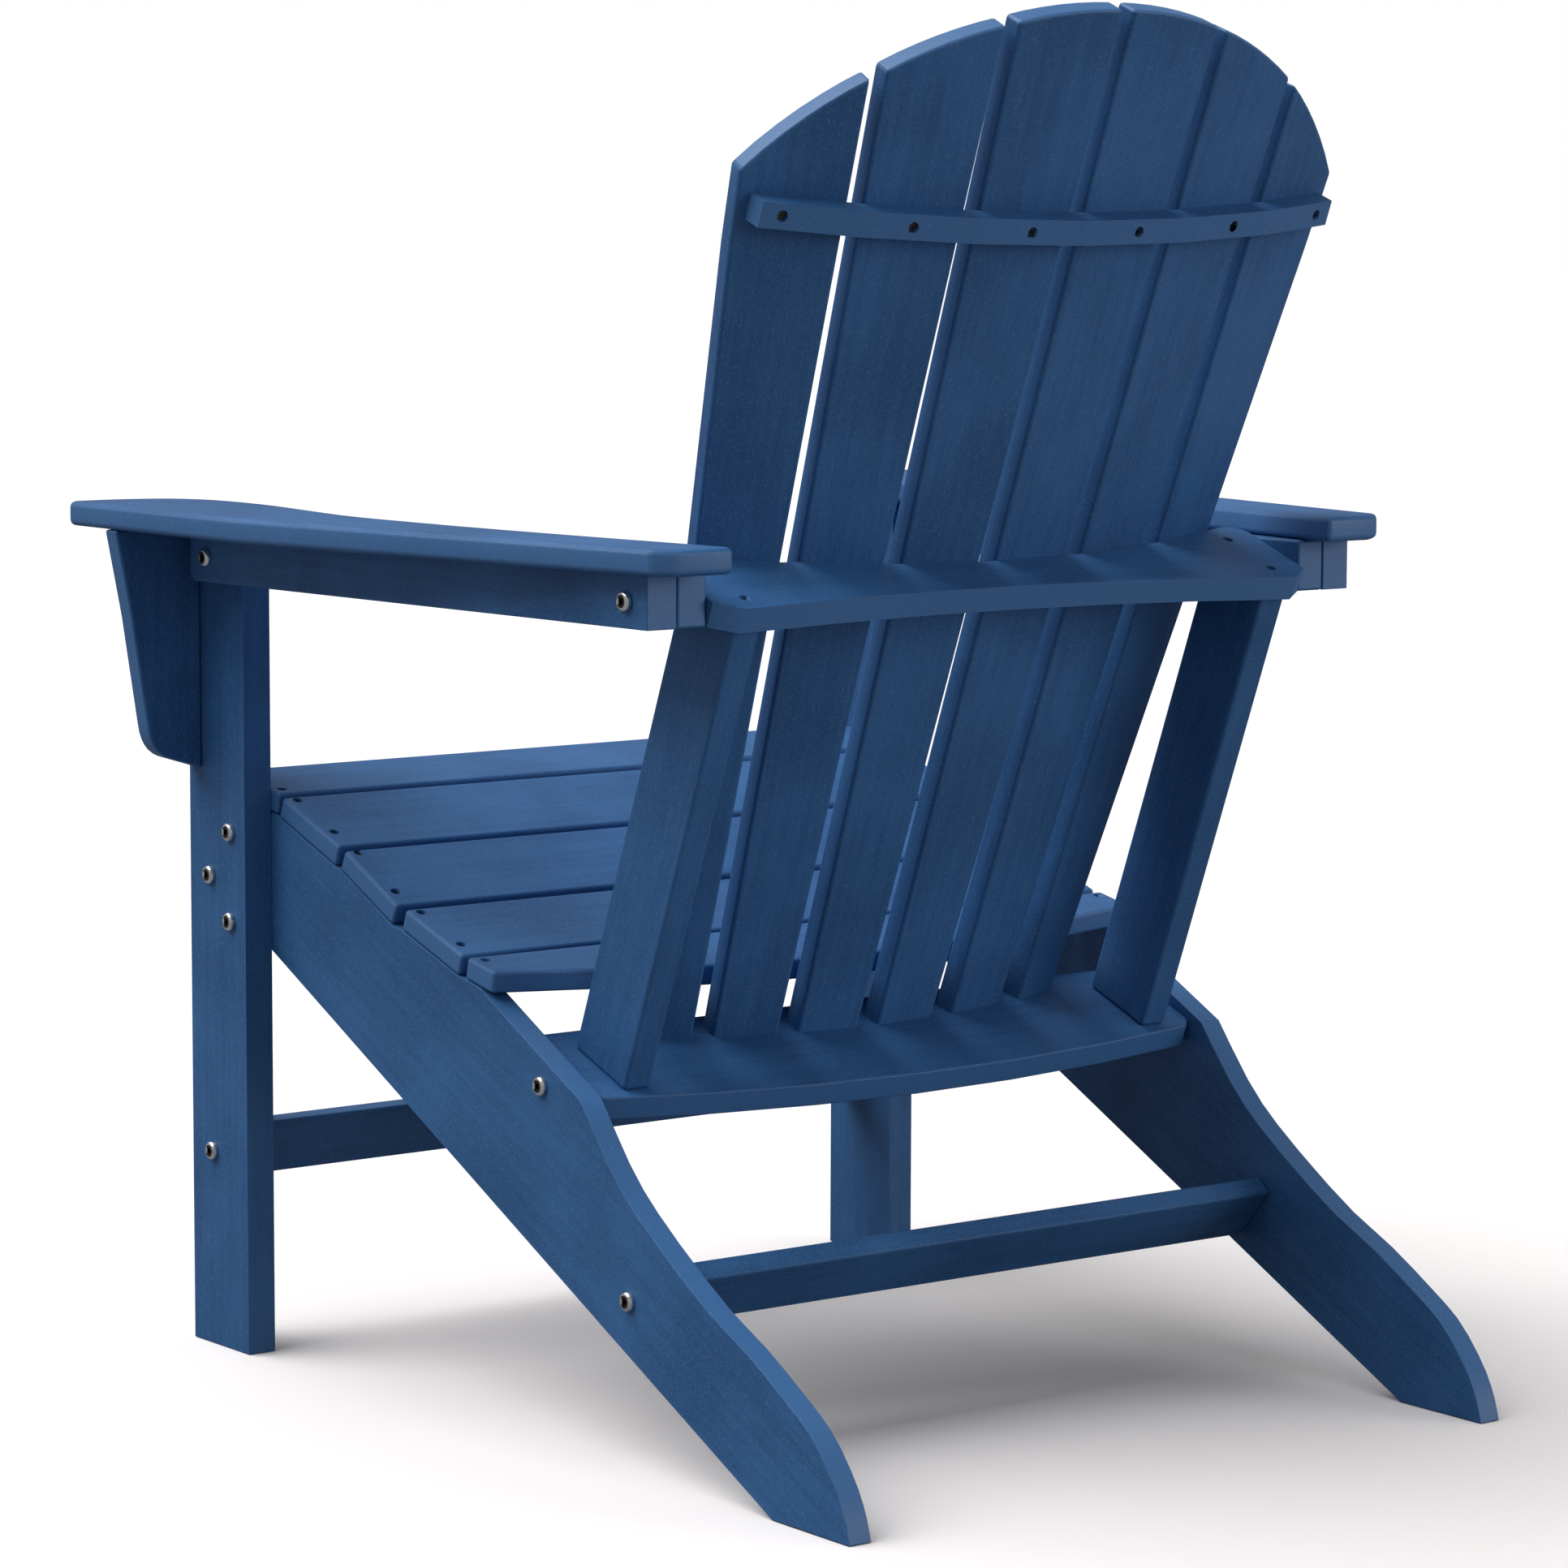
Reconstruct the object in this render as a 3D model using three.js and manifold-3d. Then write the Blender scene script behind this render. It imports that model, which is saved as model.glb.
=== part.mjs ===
// Outdoor lounge chair with a fanned slat back, a sloping slat seat and wide flat arms.
// Millimetres, +Z up. The sitter faces -Y, +X is the sitter's left. The origin is on the floor,
// midway between the sides. Every board is a separate solid, joined by through bolts and screws.

import * as THREE from 'three'
import { mergeVertices } from 'three/addons/utils/BufferGeometryUtils.js'
import Module from 'manifold-3d'

const wasm = await Module()
wasm.setup()

// Driving dimensions -------------------------------------------------------------------------

const gap = 0.3 // clearance between pieces that touch
const boltSegments = 16

const insideWidth = 576 // between the inner faces of the front legs
const armTop = 624.5
const backRecline = THREE.MathUtils.degToRad(21)

const legFront = -360
const legWidth = 77
const legThickness = 22.5

const stringerThickness = 18
const stringerSetback = 14 // front end of a stringer behind the front of the leg
const stringerSlope = 0.489 // drop of the lower edge per unit of depth
const footFront = 327
const footRear = 408
const shoulder = [110, 244] // top corner where the seat line meets the rear sweep

const seatBoardThickness = 16
const seatBoards = [
  { name: 'seat_board_front', front: [-346, 425.5], tilt: 8.1, width: 74 },
  { name: 'seat_board_2', front: [-267.8, 412.8], tilt: 20, width: 82 },
  { name: 'seat_board_3', front: [-183.9, 382.9], tilt: 25.2, width: 76 },
  { name: 'seat_board_4', front: [-104.9, 349.4], tilt: 18.4, width: 76.5 },
  { name: 'seat_board_rear', front: [-26.4, 324.9], tilt: 11, width: 34 },
]
const seatToBack = 6 // gap between the rear seat board and the back slats

const frontStretcher = { front: -342, thickness: 22, low: 126, high: 164.5 }
const rearStretcher = { centre: [167, 116], width: 48.5, thickness: 16, tilt: 48.5 }

const armThickness = 18
const armOverhang = 73 // outer edge beyond the outer face of the leg
const armNose = 47 // outer front corner beyond the front of the leg
const armTail = 53 // rear edge behind the rear arm bolt
const armToeStart = 184 // where the outer edge turns inwards, behind the front of the leg

const armRailHeight = 36.3
const armRailThickness = 23.8
const armRailSetback = 44 // front end behind the front of the leg
const armRailTail = 22 // rear end behind the rear arm bolt
const armRailNose = 8 // radius of the front lower corner
const armBlockLength = 88

const bracketThickness = 16.5
const bracketSetback = 2
const bracketReach = 70.5
const bracketHeight = 177

const backSlatCount = 6
const backSlatThickness = 17.5
const backCurveRadius = 864 // plan curve of the rear faces of the slats
const backCurveDepth = -41 // rear face of the slats at the centre line
const slatLow = 246 // lower end of the slats, up the back
const slatPitchLow = 69.1
const slatWidthLow = 51.4
const slatPitchGrowth = 0.0288 // per unit of height
const slatWidthGrowth = 0.0396
const outerTaper = 0.024 // extra taper of the outer edges of the two outer slats, per unit of height
const outerTaperTop = 845 // level where that extra taper starts
const crownRadius = 325
const crownCentre = 701

const backRailThickness = 18
const lowRail = { level: 254, boltDepth: -28.5, endRear: 10, centreRear: 28 }
const midRail = { boltDepth: -28.5, endRear: -1.6, sideRear: 10.5, centreRear: 0, inset: 27.2 }
const topRail = { level: 875, thickness: 15, halfLength: 248 }
const railFrontCorner = 22

const upright = { inner: 221.5, thickness: 22, front: -58, rear: 5 }

const boltRadius = 3
const boltHeadRadius = 6.8
const boltHeadHeight = 3.8
const boltSeat = 0.3
const boltBite = 36 // length of a bolt in the end grain of a cross piece
const boltClearance = 0.3
const screwRadius = 2
const screwHeadRadius = 3.4
const screwHeadHeight = 2.4
const screwSink = 3 // depth of the counterbore
const screwLength = 24
const topScrewPitch = 93.2
const acrossLeg = 57 // bolts behind the front of the leg
const armFrontBolt = 67
const midScrews = [-6, -54]

// Places worked out from them ----------------------------------------------------------------

const legInner = insideWidth / 2
const legOuter = legInner + legThickness
const legRear = legFront + legWidth
const stringerOuter = legInner - gap
const stringerInner = stringerOuter - stringerThickness
const armUnderside = armTop - armThickness
const underArm = armUnderside - gap
const railCentre = underArm - armRailHeight / 2
const railFront = legFront + armRailSetback

// A point (depth, level) of the reclined back as (y, z) of the chair.
const sine = Math.sin(backRecline)
const cosine = Math.cos(backRecline)
function fromBack(depth, level) {
  return [depth * cosine + level * sine, level * cosine - depth * sine]
}

const rearBolt = [(midRail.boltDepth + railCentre * sine) / cosine, railCentre]
const midLevel = rearBolt[0] * sine + rearBolt[1] * cosine
const railRear = rearBolt[0] + armRailTail
const armRear = rearBolt[0] + armTail
const midHalfLength = legInner - midRail.inset // the middle rail ends inside the line of the legs
const blockInner = midHalfLength + gap
const railInnerRear = blockInner + armRailThickness + gap
const railInnerFront = legOuter + gap
const railToe = (railInnerFront - railInnerRear) / (railRear - legRear)

// x of the inner face of an arm rail: flat against the leg, then toed in towards the back.
function railInner(y) {
  return railInnerFront - railToe * Math.max(0, y - legRear)
}

// The slats ----------------------------------------------------------------------------------

function slatPitch(level) {
  return slatPitchLow + slatPitchGrowth * (level - slatLow)
}

function slatWidth(level) {
  return slatWidthLow + slatWidthGrowth * (level - slatLow)
}

// x of the right (1) or left (-1) edge of the slat in a row, counted from the middle of the back.
const outerRow = (backSlatCount - 1) / 2
function slatEdge(row, side, level) {
  const taper = side * row === outerRow ? outerTaper * Math.max(0, outerTaperTop - level) : 0
  return row * slatPitch(level) + side * (slatWidth(level) / 2 - taper)
}

// The flat rear face of a slat in plan, touching the back's curve at the top rail.
const slats = Array.from({ length: backSlatCount }, (_, i) => {
  const row = i - outerRow
  const x = row * slatPitch(topRail.level)
  const yaw = -Math.atan(x / backCurveRadius)
  return { row, x, yaw, depth: backCurveDepth - (x * x) / (2 * backCurveRadius) }
})

// Plan line behind the slats at a level, moved off their rear faces, from -reach to +reach.
function slatLine(level, offset, reach) {
  const faces = slats.map(({ row, x, yaw, depth }) => {
    const point = (at) => {
      return new THREE.Vector2(at, depth + (at - x) * Math.tan(yaw) + offset / Math.cos(yaw))
    }
    return { point, ends: [-1, 1].map((side) => point(slatEdge(row, side, level))) }
  })
  const between = faces.flatMap(({ ends }) => ends).filter(({ x }) => Math.abs(x) < reach)
  return [faces[0].point(-reach), ...between, faces.at(-1).point(reach)]
}

// Solids -------------------------------------------------------------------------------------

const X = new THREE.Vector3(1, 0, 0)
const Y = new THREE.Vector3(0, 1, 0)
const Z = new THREE.Vector3(0, 0, 1)
const turns = {
  x: new THREE.Matrix4().makeBasis(Y, Z, X),
  y: new THREE.Matrix4().makeBasis(X, Z, Y.clone().negate()),
  z: new THREE.Matrix4(),
}

function outline(points) {
  return new THREE.Shape(points.map(([a, b]) => new THREE.Vector2(a, b)))
}

// A board: an outline in the other two axes, filled from low to high along the named axis.
function board(shape, axis, low, high, curveSegments = 6) {
  const depth = high - low
  const geometry = new THREE.ExtrudeGeometry(shape, { depth, bevelEnabled: false, curveSegments })
  geometry.applyMatrix4(turns[axis])
  if (axis === 'x') geometry.translate(low, 0, 0)
  if (axis === 'y') geometry.translate(0, high, 0)
  if (axis === 'z') geometry.translate(0, 0, low)
  return welded(geometry)
}

function box(x, y, z) {
  return board(outline([[x[0], y[0]], [x[1], y[0]], [x[1], y[1]], [x[0], y[1]]]), 'z', z[0], z[1])
}

function welded(geometry) {
  geometry.deleteAttribute('normal')
  geometry.deleteAttribute('uv')
  return mergeVertices(geometry, 1e-4)
}

// The same piece for the other side of the chair.
function mirrored(geometry) {
  const copy = geometry.clone()
  copy.scale(-1, 1, 1)
  const index = copy.index.array
  for (let i = 0; i < index.length; i += 3) {
    [index[i], index[i + 1]] = [index[i + 1], index[i]]
  }
  return copy
}

function solid(geometry) {
  const vertProperties = new Float32Array(geometry.attributes.position.array)
  const triVerts = new Uint32Array(geometry.index.array)
  return new wasm.Manifold(new wasm.Mesh({ numProp: 3, vertProperties, triVerts }))
}

// A bore: a round hole from a mouth, along a direction, of a radius and a length.
function drilled(geometry, bores) {
  let piece = solid(geometry)
  for (const { mouth, direction, radius, length } of bores) {
    const tool = welded(new THREE.CylinderGeometry(radius, radius, length, boltSegments))
    tool.applyQuaternion(new THREE.Quaternion().setFromUnitVectors(Y, direction))
    tool.translate(...mouth.clone().addScaledVector(direction, length / 2).toArray())
    piece = piece.subtract(solid(tool))
  }
  const { vertProperties, triVerts } = piece.getMesh()
  const result = new THREE.BufferGeometry()
  result.setAttribute('position', new THREE.BufferAttribute(vertProperties, 3))
  result.setIndex(new THREE.BufferAttribute(triVerts, 1))
  return result
}

// Materials ----------------------------------------------------------------------------------

function lumber() {
  return new THREE.MeshStandardMaterial({ color: '#2a4569', roughness: 0.55, flatShading: true })
}

function stainless() {
  const finish = { color: '#c9c8c4', roughness: 0.3, metalness: 1, flatShading: true }
  return new THREE.MeshStandardMaterial(finish)
}

const chair = new THREE.Group()
const back = new THREE.Group()
back.rotation.x = -backRecline
chair.add(back)

function add(parent, name, geometry, material) {
  const mesh = new THREE.Mesh(geometry, material)
  mesh.name = name
  parent.add(mesh)
  return mesh
}

// Adds a piece modelled on the +X side and its mirror image.
function addPair(parent, name, geometry, material) {
  add(parent, `${name}_left`, geometry, material())
  add(parent, `${name}_right`, mirrored(geometry), material())
}

// Bolts and screws ---------------------------------------------------------------------------

// A fastener on the +Y axis: the head is above zero and the shank hangs below it.
function fastener(radius, length, headRadius, headHeight) {
  const profile = [
    [0, -length], [radius, -length], [radius, 0], [headRadius, 0], [headRadius, headHeight * 0.3],
    [headRadius * 0.82, headHeight * 0.75], [headRadius * 0.5, headHeight], [0, headHeight],
  ].map(([r, h]) => new THREE.Vector2(r, h))
  return welded(new THREE.LatheGeometry(profile, boltSegments))
}

// Bolts of the +X side: the outer face they sit on, where they are, and how far they reach.
function bolt(name, face, [y, z], reach) {
  return { name, face, y, z, reach }
}

const intoStringer = legThickness + gap + stringerThickness * 0.75
const intoCrossPiece = stringerThickness + boltBite
const lowBolt = fromBack(lowRail.boltDepth, lowRail.level)
const bolts = [
  bolt('bolt_leg_upper', legOuter, [legFront + acrossLeg, 384.8], intoStringer),
  bolt('bolt_leg_middle', legOuter, [legFront + 28, 351.6], intoStringer),
  bolt('bolt_leg_lower', legOuter, [legFront + acrossLeg, 319], intoStringer),
  bolt('bolt_front_stretcher', legOuter, [
    frontStretcher.front + frontStretcher.thickness / 2,
    (frontStretcher.low + frontStretcher.high) / 2,
  ], legThickness + boltBite),
  bolt('bolt_low_rail', stringerOuter, lowBolt, intoCrossPiece),
  bolt('bolt_rear_stretcher', stringerOuter, rearStretcher.centre, intoCrossPiece),
  bolt('bolt_arm_front', railInnerFront + armRailThickness, [legFront + armFrontBolt, railCentre],
    armRailThickness + gap + legThickness * 0.75),
  bolt('bolt_arm_rear', railInner(rearBolt[0]) + armRailThickness + gap, rearBolt,
    2 * armRailThickness + 3 * gap + boltBite),
]

// The bore that a bolt needs in every board it passes through.
function boreOf({ face, y, z, reach }) {
  return {
    mouth: new THREE.Vector3(face + 1, y, z),
    direction: X.clone().negate(),
    radius: boltRadius + boltClearance,
    length: reach + 1 + gap,
  }
}

function bores(...names) {
  return bolts.filter(({ name }) => names.includes(name)).map(boreOf)
}

// The same bores in the reclined frame of the back, for both ends of a cross rail.
function endBores(name, depth, level) {
  return bores(name).flatMap((bore) => [1, -1].map((side) => ({
    ...bore,
    mouth: new THREE.Vector3(side * bore.mouth.x, depth, level),
    direction: new THREE.Vector3(-side, 0, 0),
  })))
}

for (const { name, face, y, z, reach } of bolts) {
  const geometry = fastener(boltRadius, reach, boltHeadRadius, boltHeadHeight)
  geometry.rotateZ(-Math.PI / 2)
  geometry.translate(face + boltSeat, y, z)
  addPair(chair, name, geometry, stainless)
}

// Seat ---------------------------------------------------------------------------------------

// Corners of a seat board in (y, z): top front, top rear, lower rear, lower front.
function seatSection({ front, tilt, width }, thickness) {
  const angle = THREE.MathUtils.degToRad(tilt)
  const along = [Math.cos(angle), -Math.sin(angle)]
  const down = [-Math.sin(angle), -Math.cos(angle)]
  const rear = [front[0] + along[0] * width, front[1] + along[1] * width]
  const drop = ([y, z]) => [y + down[0] * thickness, z + down[1] * thickness]
  return [front, rear, drop(rear), drop(front)]
}

// The rear board starts straight and swells back into the hollow of the back slats.
function addRearSeatBoard(entry) {
  const angle = THREE.MathUtils.degToRad(entry.tilt)
  const [frontY, frontZ] = entry.front
  const level = lowRail.level + backRailThickness * 2
  const hollow = slatLine(level, -backSlatThickness - seatToBack, stringerOuter)
  const shape = new THREE.Shape()
  shape.moveTo(-stringerOuter, 0)
  shape.lineTo(stringerOuter, 0)
  shape.lineTo(stringerOuter, entry.width)
  const rear = hollow.map(({ x, y }) => [x, (fromBack(y, level)[0] - frontY) / Math.cos(angle)])
  for (const [x, depth] of rear.reverse()) {
    if (depth > entry.width) shape.lineTo(x, depth)
  }
  shape.lineTo(-stringerOuter, entry.width)
  const geometry = board(shape, 'z', -seatBoardThickness, 0)
  geometry.rotateX(-angle)
  geometry.translate(0, frontY, frontZ)
  add(chair, entry.name, geometry, lumber())
}

for (const entry of seatBoards.slice(0, -1)) {
  const section = outline(seatSection(entry, seatBoardThickness))
  add(chair, entry.name, board(section, 'x', -stringerOuter, stringerOuter), lumber())
}
addRearSeatBoard(seatBoards.at(-1))

// Stringers: seat rail and rear leg in one board ---------------------------------------------

function stringerShape() {
  const front = legFront + stringerSetback
  const underSeat = seatBoards.flatMap((entry) => {
    const [, , rear, first] = seatSection(entry, seatBoardThickness + gap)
    return [first, rear]
  })
  const landing = seatSection({ ...seatBoards.at(-1), width: 18 }, seatBoardThickness + gap)[2]
  const top = [...underSeat.slice(1, -1), landing]
  const shape = new THREE.Shape()
  shape.moveTo(front, (footFront - front) * stringerSlope)
  shape.lineTo(footFront, 0)
  shape.lineTo(footRear, 0)
  shape.splineThru([
    [403, 16], [392, 36], [369, 62], [342, 80], [296, 106], [250, 128], [185, 169], [147, 200], shoulder,
  ].map(([y, z]) => new THREE.Vector2(y, z)))
  for (const [y, z] of top.reverse()) shape.lineTo(y, z)
  const rise = Math.tan(THREE.MathUtils.degToRad(seatBoards[0].tilt))
  shape.lineTo(front, underSeat[0][1] + (underSeat[0][0] - front) * rise)
  return shape
}

const stringer = drilled(
  board(stringerShape(), 'x', stringerInner, stringerOuter, 2),
  bores('bolt_leg_upper', 'bolt_leg_middle', 'bolt_leg_lower', 'bolt_low_rail', 'bolt_rear_stretcher'),
)
addPair(chair, 'stringer', stringer, lumber)

// Front legs and stretchers ------------------------------------------------------------------

const leg = drilled(
  box([legInner, legOuter], [legFront, legRear], [0, underArm]),
  bores('bolt_leg_upper', 'bolt_leg_middle', 'bolt_leg_lower', 'bolt_front_stretcher', 'bolt_arm_front'),
)
addPair(chair, 'front_leg', leg, lumber)

function bothEnds(name) {
  return bores(name).flatMap((bore) => [bore, {
    ...bore,
    mouth: bore.mouth.clone().multiply(new THREE.Vector3(-1, 1, 1)),
    direction: X,
  }])
}

const stretcherEnd = legInner - gap
add(chair, 'front_stretcher', drilled(
  box(
    [-stretcherEnd, stretcherEnd],
    [frontStretcher.front, frontStretcher.front + frontStretcher.thickness],
    [frontStretcher.low, frontStretcher.high],
  ),
  bothEnds('bolt_front_stretcher'),
), lumber())

function addRearStretcher() {
  const { centre, width, thickness, tilt } = rearStretcher
  const end = stringerInner - gap
  const geometry = box([-end, end], [-width / 2, width / 2], [-thickness / 2, thickness / 2])
  geometry.rotateX(THREE.MathUtils.degToRad(tilt))
  geometry.translate(0, ...centre)
  add(chair, 'rear_stretcher', drilled(geometry, bothEnds('bolt_rear_stretcher')), lumber())
}
addRearStretcher()

// Arms ---------------------------------------------------------------------------------------

// A closed body through four-cornered rings, each given as four points.
function loft(rings) {
  const points = rings.flat(2)
  const index = []
  const quad = (a, b, c, d) => index.push(a, b, c, a, c, d)
  for (let i = 0; i + 1 < rings.length; i += 1) {
    for (let side = 0; side < 4; side += 1) {
      const next = (side + 1) % 4
      quad(4 * i + side, 4 * i + next, 4 * i + 4 + next, 4 * i + 4 + side)
    }
  }
  const last = 4 * (rings.length - 1)
  quad(3, 2, 1, 0)
  quad(last, last + 1, last + 2, last + 3)
  const geometry = new THREE.BufferGeometry()
  geometry.setAttribute('position', new THREE.Float32BufferAttribute(points, 3))
  geometry.setIndex(index)
  return geometry
}

// The front lower corner is round, the front length lies flat on the leg and the rest toes in.
function armRail() {
  const low = underArm - armRailHeight
  const steps = 4
  const stations = Array.from({ length: steps + 1 }, (_, i) => {
    const angle = (i / steps) * (Math.PI / 2)
    return [railFront + armRailNose * (1 - Math.cos(angle)), low + armRailNose * (1 - Math.sin(angle))]
  })
  stations.push([legRear, low], [railRear, low])
  return loft(stations.map(([y, bottom]) => {
    const inner = railInner(y)
    const outer = inner + armRailThickness
    return [[inner, y, bottom], [inner, y, underArm], [outer, y, underArm], [outer, y, bottom]]
  }))
}
addPair(chair, 'arm_rail', drilled(armRail(), bores('bolt_arm_front', 'bolt_arm_rear')), lumber)

// The block fills the space between an arm rail and the end of the middle back rail.
function armBlock() {
  const front = railRear - armBlockLength
  const shape = outline([
    [blockInner, front],
    [railInner(front) - gap, front],
    [railInner(railRear) - gap, railRear],
    [blockInner, railRear],
  ])
  return board(shape, 'z', underArm - armRailHeight, underArm)
}
addPair(chair, 'arm_block', drilled(armBlock(), bores('bolt_arm_rear')), lumber)

function armShape() {
  const outer = legOuter + armOverhang
  const nose = legFront - armNose
  const toeStart = legFront + armToeStart
  const tailOuter = railInner(railRear) + armRailThickness + 11
  const shape = new THREE.Shape()
  shape.moveTo(outer, nose)
  shape.lineTo(outer, toeStart)
  shape.lineTo(tailOuter, armRear - 12)
  shape.lineTo(tailOuter - 16, armRear)
  shape.lineTo(blockInner, armRear)
  shape.splineThru([
    [blockInner + 6, armRear - 49], [blockInner + 18, armRear - 133], [legInner + 4, legRear + 290],
    [legInner + 11, legRear + 191], [legInner + 12, legRear + 132], [legInner + 4, legRear + 66],
    [legInner - 4, legRear + 7], [legInner - 5, legRear - 43], [legInner - 1, legFront],
    [legInner + 12, legFront - 27], [legInner + 34, legFront - 41], [legInner + 58, legFront - 47],
    [legInner + 78, legFront - 48],
  ].map(([x, y]) => new THREE.Vector2(x, y)))
  return shape
}
addPair(chair, 'armrest', board(armShape(), 'z', armUnderside, armTop, 2), lumber)

function bracketShape() {
  const inner = legOuter + gap
  const low = underArm - bracketHeight
  const shape = new THREE.Shape()
  shape.moveTo(inner, underArm)
  shape.lineTo(inner, low)
  shape.lineTo(inner + 29, low + 9)
  shape.quadraticCurveTo(inner + 43, low + 14, inner + 45.5, low + 34)
  shape.lineTo(inner + 58, underArm - 63)
  shape.lineTo(inner + bracketReach, underArm)
  return shape
}
const bracketFront = legFront + bracketSetback
const bracket = board(bracketShape(), 'y', bracketFront, bracketFront + bracketThickness)
addPair(chair, 'arm_bracket', bracket, lumber)

// Back frame, in its own reclined axes: y is the depth behind the sitter, z is the level ------

const railHalf = backRailThickness / 2

// A cross rail: the front follows the slats, the rear is bowed, and the ends are square.
function crossRail({ level, halfLength, endRear, sideRear, centreRear, corner, clip }) {
  const front = slatLine(level, gap, halfLength)
  const shape = new THREE.Shape()
  const end = front.at(-1).y
  const cornerDepth = straightEnd(front, halfLength - corner)
  shape.moveTo(halfLength, endRear)
  shape.lineTo(halfLength, end + corner)
  shape.quadraticCurveTo(halfLength, end, halfLength - corner, cornerDepth)
  for (const { x, y } of front.slice(1, -1).reverse()) shape.lineTo(x, y)
  shape.lineTo(corner - halfLength, cornerDepth)
  shape.quadraticCurveTo(-halfLength, end, -halfLength, end + corner)
  shape.lineTo(-halfLength, endRear)
  shape.lineTo(clip - halfLength, sideRear)
  shape.quadraticCurveTo(0, 2 * centreRear - sideRear, halfLength - clip, sideRear)
  return shape
}

// Depth of the outermost straight of the front edge at x.
function straightEnd(front, x) {
  const [a, b] = front.slice(-2)
  return a.y + ((b.y - a.y) * (x - a.x)) / (b.x - a.x)
}

function screwBores(places, direction, reach) {
  return places.flatMap((mouth) => {
    const lift = mouth.clone().addScaledVector(direction, -1)
    return [
      { mouth: lift, direction, radius: screwHeadRadius + boltClearance, length: 1 + screwSink },
      { mouth: lift, direction, radius: screwRadius + boltClearance, length: 1 + reach },
    ]
  })
}

const down = Z.clone().negate()
const midTop = midLevel + railHalf
const uprightMiddle = upright.inner + upright.thickness / 2
const midScrewPlaces = [1, -1].flatMap((side) => midScrews.map((depth) => (
  new THREE.Vector3(side * uprightMiddle, depth, midTop)
)))
const screwReach = screwSink + screwLength + gap

const lowShape = crossRail({
  level: lowRail.level,
  halfLength: stringerInner - gap,
  endRear: lowRail.endRear - 8,
  sideRear: lowRail.endRear,
  centreRear: lowRail.centreRear,
  corner: 3,
  clip: 8,
})
add(back, 'back_rail_low', drilled(
  board(lowShape, 'z', lowRail.level - railHalf, lowRail.level + railHalf),
  endBores('bolt_low_rail', lowRail.boltDepth, lowRail.level),
), lumber())

const midShape = crossRail({
  ...midRail,
  level: midLevel,
  halfLength: midHalfLength,
  corner: railFrontCorner,
  clip: 18,
})
add(back, 'back_rail_middle', drilled(
  board(midShape, 'z', midLevel - railHalf, midTop),
  [
    ...endBores('bolt_arm_rear', midRail.boltDepth, midLevel),
    ...screwBores(midScrewPlaces, down, screwReach),
  ],
), lumber())

const uprightLow = lowRail.level + railHalf + gap
const uprightHigh = midLevel - railHalf - gap
const leftScrewPlaces = midScrewPlaces.filter(({ x }) => x > 0)
addPair(back, 'back_upright', drilled(
  box(
    [upright.inner, upright.inner + upright.thickness],
    [upright.front, upright.rear],
    [uprightLow, uprightHigh],
  ),
  screwBores(leftScrewPlaces, down, screwReach),
), lumber)

// The top rail is a strip of even depth that follows the slats.
function topRailShape() {
  const { level, thickness, halfLength } = topRail
  const front = slatLine(level, gap, halfLength)
  const rear = slatLine(level, gap + thickness, halfLength)
  return outline([...front, ...rear.reverse()].map(({ x, y }) => [x, y]))
}

const topScrews = slats.map((slat) => {
  const x = slat.row * topScrewPitch
  const rise = (gap + topRail.thickness) / Math.cos(slat.yaw)
  const depth = slat.depth + (x - slat.x) * Math.tan(slat.yaw) + rise
  return {
    mouth: new THREE.Vector3(x, depth, topRail.level),
    direction: new THREE.Vector3(Math.sin(slat.yaw), -Math.cos(slat.yaw), 0),
  }
})
const topReach = screwSink + screwLength + gap
const topBores = topScrews.flatMap(({ mouth, direction }) => screwBores([mouth], direction, topReach))
add(back, 'back_rail_top', drilled(
  board(topRailShape(), 'z', topRail.level - railHalf, topRail.level + railHalf),
  topBores,
), lumber())

// A slat widens upwards, fans outwards in its own plane and ends on the round crown.
function slatShape({ row, x: middle, yaw }) {
  const edge = (side, level) => slatEdge(row, side, level)
  const crown = (x) => crownCentre + Math.sqrt(crownRadius ** 2 - x ** 2)
  const top = (side) => {
    let level = crownCentre + crownRadius
    for (let i = 0; i < 20; i += 1) level = crown(edge(side, level))
    return [edge(side, level), level]
  }
  const [left, right] = [top(-1), top(1)]
  const steps = 6
  const taperEnds = Math.abs(row) === outerRow ? [outerTaperTop] : []
  const bend = (side) => (side * row > 0 ? taperEnds.map((level) => [edge(side, level), level]) : [])
  const points = [[edge(-1, slatLow), slatLow], [edge(1, slatLow), slatLow], ...bend(1), right]
  for (let i = steps - 1; i > 0; i -= 1) {
    const x = left[0] + ((right[0] - left[0]) * i) / steps
    points.push([x, crown(x)])
  }
  points.push(left, ...bend(-1))
  return outline(points.map(([x, level]) => [(x - middle) / Math.cos(yaw), level]))
}

slats.forEach((slat, i) => {
  const geometry = board(slatShape(slat), 'y', -backSlatThickness, 0)
  geometry.rotateZ(slat.yaw)
  geometry.translate(slat.x, slat.depth, 0)
  add(back, `back_slat_${i + 1}`, drilled(geometry, topBores), lumber())
})

// Screws -------------------------------------------------------------------------------------

function addScrew(name, mouth, direction) {
  const geometry = fastener(screwRadius, screwLength, screwHeadRadius, screwHeadHeight)
  geometry.applyQuaternion(new THREE.Quaternion().setFromUnitVectors(Y, direction.clone().negate()))
  const seat = mouth.clone().addScaledVector(direction, screwSink - boltSeat)
  geometry.translate(...seat.toArray())
  add(back, name, geometry, stainless())
}

midScrewPlaces.forEach((mouth, i) => addScrew(`screw_middle_rail_${i + 1}`, mouth, down))
topScrews.forEach(({ mouth, direction }, i) => addScrew(`screw_top_rail_${i + 1}`, mouth, direction))

export default chair
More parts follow.
